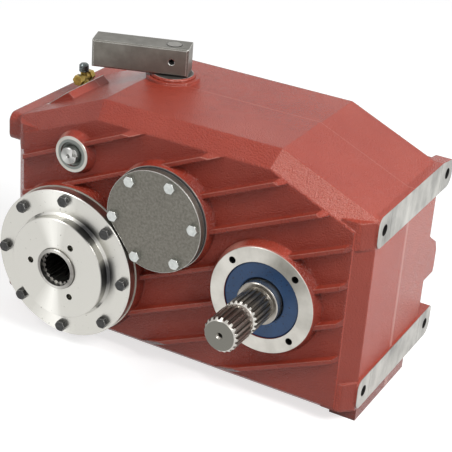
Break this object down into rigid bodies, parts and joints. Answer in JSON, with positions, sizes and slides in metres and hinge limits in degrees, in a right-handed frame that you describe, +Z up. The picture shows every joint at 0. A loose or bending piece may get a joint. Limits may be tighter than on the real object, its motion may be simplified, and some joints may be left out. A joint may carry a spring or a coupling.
{
  "type": "gear reducer",
  "caption": "Parallel-shaft gearbox in a ribbed red casting, with a splined input shaft, a hollow splined output, round bearing covers and a shift lever on top.",
  "frame": {"origin": "centre of the output cover's raised mounting face, on the output axis", "axes": "+X along the housing from the output to the input, +Y from the front to the back, +Z up"},
  "size_m": [0.5185, 0.367, 0.3729],
  "materials": {
    "red_casting": "painted",
    "machined_steel": "turned",
    "gear_steel": "as rolled",
    "black_bolt": "oxidised",
    "zinc_bolt": "zinc plated",
    "blue_seal": "satin",
    "dark_rubber": "matt",
    "brass_part": "satin"
  },
  "bodies": {
    "housing": {"housing": "red_casting", "rear_cover": "red_casting", "rear_cover_gasket": "machined_steel", "rear_cover_bolts": "zinc_bolt", "output_cover": "machined_steel", "output_shims": "machined_steel", "output_cover_bolts": "black_bolt", "output_seal": "dark_rubber", "middle_cover": "gear_steel", "middle_cover_gasket": "dark_rubber", "middle_cover_bolts": "zinc_bolt", "input_seal": "blue_seal", "rail_seal": "dark_rubber", "lever_bush": "dark_rubber", "output_bearing_outer_rings": "machined_steel", "middle_bearing_outer_rings": "machined_steel", "input_bearing_outer_rings": "machined_steel", "output_bearing_balls": "machined_steel", "middle_bearing_balls": "machined_steel", "input_bearing_balls": "machined_steel", "detent_ball": "machined_steel", "detent_spring": "machined_steel", "detent_plug": "zinc_bolt", "breather_fitting": "brass_part", "breather_cap": "machined_steel", "drain_plug": "zinc_bolt", "level_plug": "zinc_bolt"},
    "output": {"output_hub": "machined_steel", "output_bearing_inner_rings": "machined_steel", "output_gear": "gear_steel", "output_gear_bush": "brass_part"},
    "collar": {"clutch_collar": "gear_steel"},
    "countershaft": {"countershaft": "machined_steel", "countershaft_gear": "gear_steel", "countershaft_pinion": "gear_steel", "countershaft_spacers": "machined_steel", "countershaft_keys": "machined_steel", "middle_bearing_inner_rings": "machined_steel"},
    "input": {"input_shaft": "machined_steel", "input_gear": "gear_steel", "input_key": "machined_steel", "input_spacers": "machined_steel", "input_bearing_inner_rings": "machined_steel"},
    "rail": {"shift_rail": "machined_steel", "shift_fork": "gear_steel", "fork_pin": "zinc_bolt"},
    "lever": {"lever_shaft": "machined_steel", "shift_crank": "gear_steel", "crank_pin": "zinc_bolt", "shift_lever": "gear_steel", "lever_pin": "zinc_bolt"}
  },
  "joints": [
    {"name": "countershaft_spin", "type": "hinge", "parent": "housing", "child": "countershaft", "pos_m": [0.12745, 0.1, 0.09674], "axis": [0, 1, 0], "continuous": true},
    {"name": "input_spin", "type": "hinge", "parent": "housing", "child": "input", "pos_m": [0.27372, 0.1, 0.03191], "axis": [0, 1, 0], "continuous": true},
    {"name": "output_spin", "type": "hinge", "parent": "housing", "child": "output", "pos_m": [0, 0.1, 0], "axis": [0, 1, 0], "continuous": true},
    {"name": "lever_turn", "type": "hinge", "parent": "housing", "child": "lever", "pos_m": [0.047, 0.1845, 0.2], "axis": [0, 0, -1], "range_deg": [0, 22]},
    {"name": "rail_slide", "type": "slide", "parent": "housing", "child": "rail", "axis": [0, 1, 0], "range_m": [0, 0.0161]},
    {"name": "collar_slide", "type": "slide", "parent": "output", "child": "collar", "axis": [0, 1, 0], "range_m": [0, 0.0161]}
  ],
  "couplings": [
    {"joint": "input_spin", "follows": "countershaft_spin", "ratio": -1.2222},
    {"joint": "output_spin", "follows": "countershaft_spin", "ratio": -1.0513},
    {"joint": "rail_slide", "follows": "lever_turn", "m_per_rad": 0.041742},
    {"joint": "collar_slide", "follows": "lever_turn", "m_per_rad": 0.041742}
  ]
}
